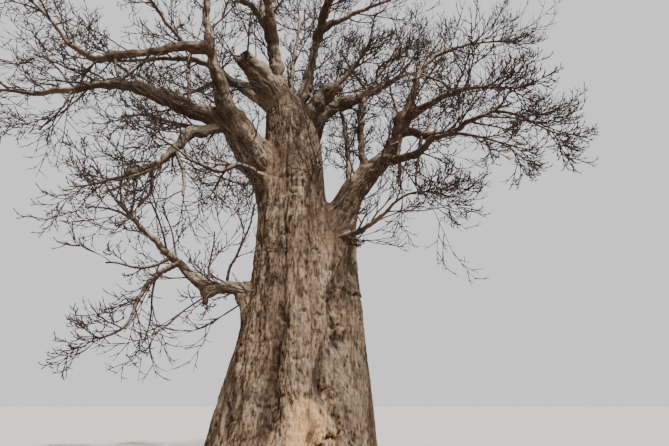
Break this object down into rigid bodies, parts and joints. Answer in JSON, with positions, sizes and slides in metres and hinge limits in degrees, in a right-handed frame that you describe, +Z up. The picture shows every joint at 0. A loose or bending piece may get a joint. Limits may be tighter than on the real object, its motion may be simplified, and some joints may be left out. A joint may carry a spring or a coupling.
{
  "type": "baobab tree",
  "caption": "Old leafless baobab with a swollen ribbed trunk, thick tapering boughs and a wide bare crown of branching twigs.",
  "frame": {"origin": "in the flat cut under the trunk, on the trunk's middle line at ground level", "axes": "+Z up, +X the right side as seen in the picture, +Y the back, away from the viewer"},
  "size_m": [18.1825, 15.0227, 18.3382],
  "materials": {
    "bark": "rough wrinkled grey-brown bark",
    "bough_bark": "rough bark, darker underneath and pale on top",
    "twigs": "dull grey-brown twigs"
  },
  "bodies": {
    "root": {"trunk": "bark", "bough_back_left": "bough_bark", "bough_back_left_low": "bough_bark", "bough_back_low": "bough_bark", "bough_back_main": "bough_bark", "bough_back_right": "bough_bark", "bough_back_riser": "bough_bark", "bough_broken_stub": "bough_bark", "bough_front_left": "bough_bark", "bough_front_right": "bough_bark", "bough_front_stub": "bough_bark", "bough_inner_riser": "bough_bark", "bough_left_fork": "bough_bark", "bough_left_long": "bough_bark", "bough_left_main": "bough_bark", "bough_left_upper": "bough_bark", "bough_left_upright": "bough_bark", "bough_low_left": "bough_bark", "bough_low_left_hanging": "bough_bark", "bough_low_left_outer": "bough_bark", "bough_middle_riser": "bough_bark", "bough_right_drooping": "bough_bark", "bough_right_low": "bough_bark", "bough_right_main": "bough_bark", "bough_right_middle": "bough_bark", "bough_right_rising": "bough_bark", "bough_right_stub": "bough_bark", "bough_small_left": "bough_bark", "bough_small_right": "bough_bark", "bough_top_left": "bough_bark", "bough_top_left_inner": "bough_bark", "bough_top_right": "bough_bark", "bough_top_right_side": "bough_bark", "twigs_back_left": "twigs", "twigs_back_left_low": "twigs", "twigs_back_low": "twigs", "twigs_back_main": "twigs", "twigs_back_right": "twigs", "twigs_back_riser": "twigs", "twigs_front_left": "twigs", "twigs_front_right": "twigs", "twigs_inner_riser": "twigs", "twigs_left_fork": "twigs", "twigs_left_long": "twigs", "twigs_left_upper": "twigs", "twigs_left_upright": "twigs", "twigs_low_left": "twigs", "twigs_low_left_hanging": "twigs", "twigs_middle": "twigs", "twigs_right_drooping": "twigs", "twigs_right_low": "twigs", "twigs_right_middle": "twigs", "twigs_right_rising": "twigs", "twigs_right_stub": "twigs", "twigs_small_left": "twigs", "twigs_small_right": "twigs", "twigs_top_left": "twigs", "twigs_top_left_inner": "twigs", "twigs_top_right": "twigs", "twigs_top_right_side": "twigs"}
  },
  "joints": []
}
